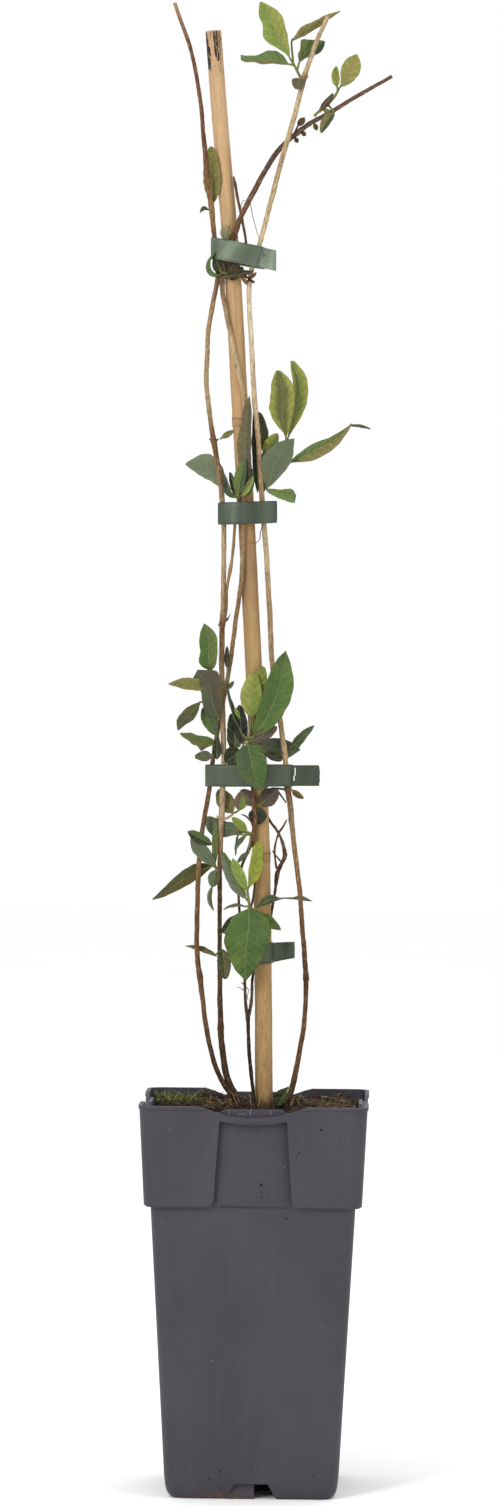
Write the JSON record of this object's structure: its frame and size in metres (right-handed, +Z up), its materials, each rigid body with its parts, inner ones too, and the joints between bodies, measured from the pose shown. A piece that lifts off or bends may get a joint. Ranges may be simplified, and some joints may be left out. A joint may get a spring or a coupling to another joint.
{
  "type": "potted climbing vine",
  "caption": "Young honeysuckle vine in a square nursery pot, its woody stems tied to a leaning bamboo cane with plastic bands and carrying small tufts of oval leaves.",
  "frame": {"origin": "middle of the pot's underside, on the plane it stands on", "axes": "+Z up along the pot, -Y out of the pot's front, +X to the right seen from the front"},
  "size_m": [0.1282, 0.12, 0.7862],
  "materials": {
    "pot_plastic": "matte grey moulded plastic, slightly dusty",
    "soil": "dark crumbly peat with bits of bark and straw",
    "bamboo": "smooth tan bamboo with faint grain and weathered top",
    "left_bark": "tan to dark brown bark with fine streaks",
    "middle_bark": "thin dark reddish bark",
    "right_bark": "pale cream bark with brown streaks",
    "young_leaf": "light yellow-green leaf, soft sheen",
    "fresh_leaf": "bright mid-green leaf with pale veins",
    "mid_leaf": "mid-green leaf, matte underside",
    "dark_leaf": "deep green leaf with pale midrib",
    "grey_leaf": "grey-green leaf underside, matte",
    "purple_leaf": "dull purple leaf",
    "olive_leaf": "olive-yellow leaf",
    "dry_leaf": "dry brown leaf",
    "tie_plastic": "sage green soft plastic band"
  },
  "bodies": {
    "root": {"pot": "pot_plastic", "soil": "soil", "bamboo_cane": "bamboo", "left_stems": "left_bark", "middle_stem": "middle_bark", "right_stem": "right_bark", "top_leaves": "young_leaf", "side_shoot_leaves": "young_leaf", "shoot_leaf": "mid_leaf", "tucked_leaves": "grey_leaf", "curled_leaf": "young_leaf", "dry_leaves": "dry_leaf", "upper_right_leaves": "mid_leaf", "upper_left_leaves": "grey_leaf", "bud_leaf": "mid_leaf", "left_leaves": "mid_leaf", "centre_leaves": "dark_leaf", "purple_leaves": "purple_leaf", "node_leaves": "olive_leaf", "inner_leaves": "grey_leaf", "low_left_leaves": "mid_leaf", "bottom_leaves": "fresh_leaf", "low_pair": "olive_leaf", "tie_top": "tie_plastic", "tie_upper": "tie_plastic", "tie_lower": "tie_plastic", "tie_bottom": "tie_plastic"}
  },
  "joints": []
}
